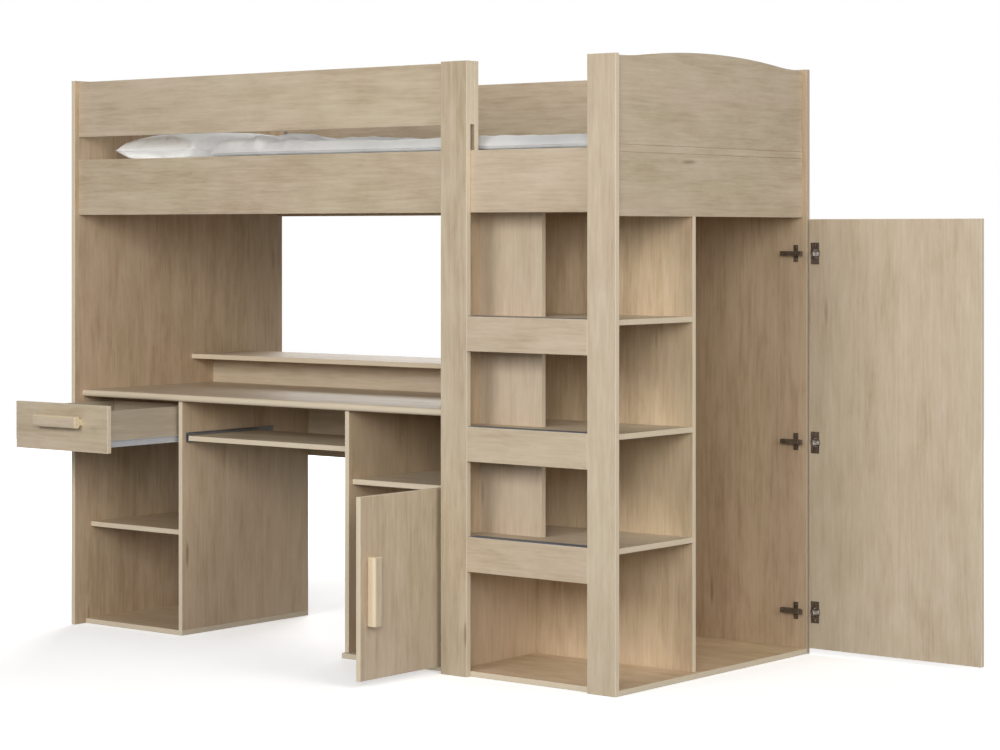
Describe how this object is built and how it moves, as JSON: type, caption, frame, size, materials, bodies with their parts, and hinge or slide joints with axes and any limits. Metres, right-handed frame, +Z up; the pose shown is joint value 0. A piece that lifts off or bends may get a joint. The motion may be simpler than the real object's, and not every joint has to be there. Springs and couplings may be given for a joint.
{
  "type": "loft bed with desk",
  "caption": "High single bed in light oak laminate over a desk with drawer, keyboard tray and cupboard, with a ladder bookcase and a wardrobe at one end, and bedding.",
  "frame": {"origin": "on the floor, under the middle of the whole as stored, with the drawer pulled out and both doors open", "axes": "+X along the bed towards the wardrobe end, +Y from the ladder and desk front to the rear, +Z up"},
  "size_m": [2.8056, 1.3654, 1.802],
  "materials": {
    "oak_laminate": "light oak woodgrain laminate on board, satin, with matching edge bands",
    "oak_handle": "light oak, satin",
    "drawer_box": "grey-beige foil on board, matt",
    "drawer_rail_metal": "light grey powder coat",
    "tray_rail_metal": "zinc-plated steel",
    "hinge_metal": "dark bronze plating, satin",
    "cam_metal": "die-cast zinc",
    "grip_strip": "blue-grey ribbed anti-slip strip",
    "slat_wood": "plain pine",
    "mattress_fabric": "white knitted ticking",
    "pillow_fabric": "white cotton",
    "duvet_fabric": "pale grey-white cotton"
  },
  "bodies": {
    "frame": {"left_end_panel": "oak_laminate", "ladder_left_post": "oak_laminate", "ladder_right_post": "oak_laminate", "ladder_rung_1": "oak_laminate", "ladder_rung_2": "oak_laminate", "ladder_rung_3": "oak_laminate", "ladder_inner_upright": "oak_laminate", "front_lower_rail": "oak_laminate", "front_guard_rail": "oak_laminate", "rear_lower_rail": "oak_laminate", "rear_guard_rail": "oak_laminate", "end_headboard": "oak_laminate", "wardrobe_rear_panel": "oak_laminate", "unit_left_side": "oak_laminate", "unit_base": "oak_laminate", "unit_top_board": "oak_laminate", "bookcase_divider": "oak_laminate", "bookcase_shelf_1": "oak_laminate", "bookcase_shelf_2": "oak_laminate", "bookcase_shelf_3": "oak_laminate", "ladder_infill_panels": "oak_laminate", "tread_grip_strips": "grip_strip", "desk_top": "oak_laminate", "desk_back_board": "oak_laminate", "desk_riser_shelf": "oak_laminate", "left_pedestal_side": "oak_laminate", "left_pedestal_base": "oak_laminate", "left_pedestal_shelf": "oak_laminate", "right_pedestal_left_side": "oak_laminate", "right_pedestal_right_side": "oak_laminate", "right_pedestal_base": "oak_laminate", "right_pedestal_shelf": "oak_laminate", "pedestal_hinge_arms": "hinge_metal", "wardrobe_hinge_arms": "hinge_metal", "drawer_fixed_rails": "drawer_rail_metal", "tray_fixed_rails": "tray_rail_metal", "front_slat_ledger": "slat_wood", "rear_slat_ledger": "slat_wood", "bed_slats": "slat_wood", "cam_locks": "cam_metal", "cam_bolts": "cam_metal", "mattress": "mattress_fabric", "pillow": "pillow_fabric", "duvet": "duvet_fabric"},
    "drawer": {"drawer_front": "oak_laminate", "drawer_handle": "oak_handle", "drawer_left_side": "drawer_box", "drawer_right_side": "drawer_box", "drawer_back": "drawer_box", "drawer_bottom": "drawer_box", "drawer_moving_rails": "drawer_rail_metal"},
    "keyboard_tray": {"keyboard_tray": "oak_laminate", "tray_moving_rails": "tray_rail_metal"},
    "pedestal_door": {"pedestal_door": "oak_laminate", "pedestal_door_handle": "oak_handle", "pedestal_hinge_cups": "hinge_metal"},
    "wardrobe_door": {"wardrobe_door": "oak_laminate", "wardrobe_door_handle": "oak_handle", "wardrobe_hinge_cups": "hinge_metal"}
  },
  "joints": [
    {"name": "drawer_slide", "type": "slide", "parent": "frame", "child": "drawer", "axis": [0, 1, 0], "range_m": [-0.02, 0.302]},
    {"name": "tray_slide", "type": "slide", "parent": "frame", "child": "keyboard_tray", "axis": [0, -1, 0], "range_m": [0, 0.25]},
    {"name": "pedestal_door_hinge", "type": "hinge", "parent": "frame", "child": "pedestal_door", "pos_m": [0.15775, -0.30075, 0.28], "axis": [0, 0, 1], "range_deg": [-90, 10]},
    {"name": "wardrobe_door_hinge", "type": "hinge", "parent": "frame", "child": "wardrobe_door", "pos_m": [0.80175, 0.64375, 0.67], "axis": [0, 0, 1], "range_deg": [-90, 10]}
  ]
}
